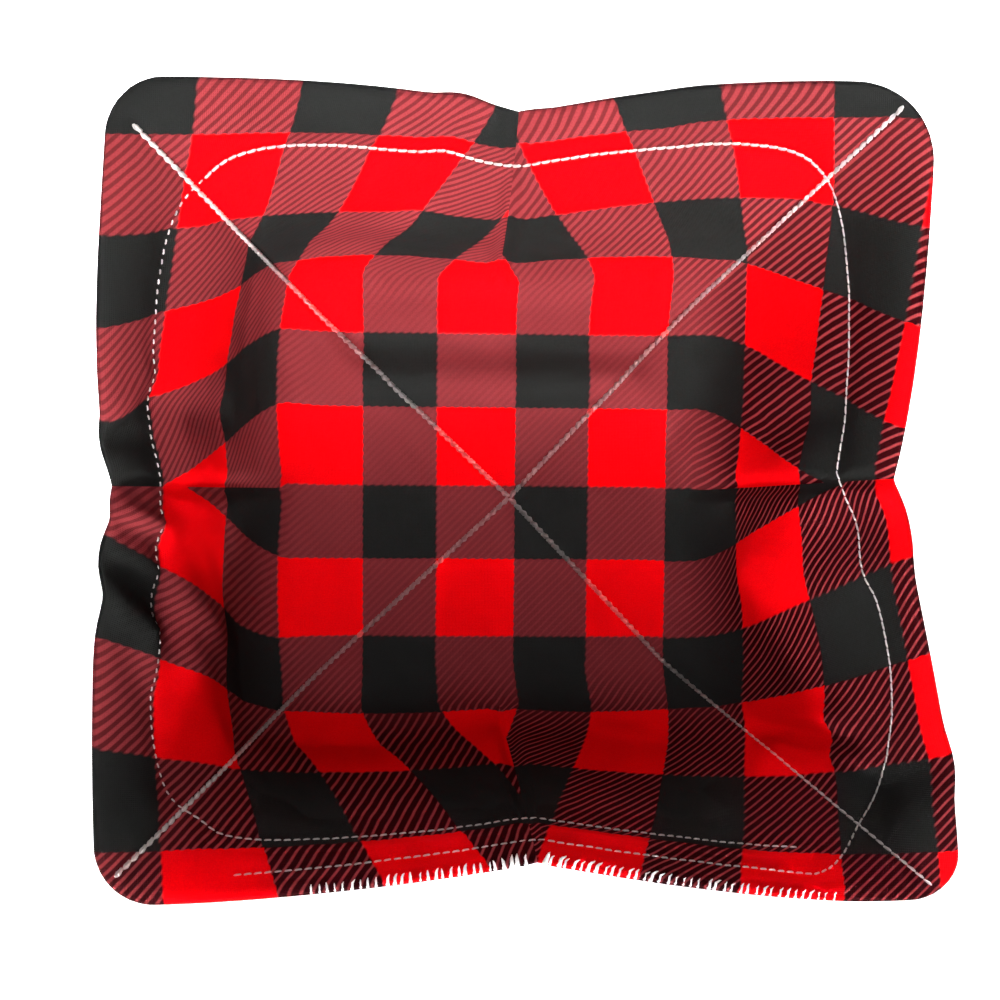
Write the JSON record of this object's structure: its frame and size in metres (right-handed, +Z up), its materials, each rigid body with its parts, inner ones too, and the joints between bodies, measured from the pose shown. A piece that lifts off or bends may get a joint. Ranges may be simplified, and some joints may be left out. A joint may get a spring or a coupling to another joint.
{
  "type": "bowl cozy",
  "caption": "Soft quilted cloth holder for a hot bowl: a checked square drawn up by darts into a bowl with flared corners.",
  "frame": {"origin": "under the middle of the whole cozy, on the surface that it stands on", "axes": "+Z up out of the hollow, +Y to the edge at the back of the picture, +X to the right"},
  "size_m": [0.204, 0.1924, 0.0796],
  "materials": {
    "check_cloth": "matt cotton in a red and black buffalo check, with a printed twill in the mixed squares",
    "thread": "white sewing thread with a slight sheen"
  },
  "bodies": {
    "root": {"inner_panel": "check_cloth", "outer_panel": "check_cloth"}
  },
  "joints": []
}
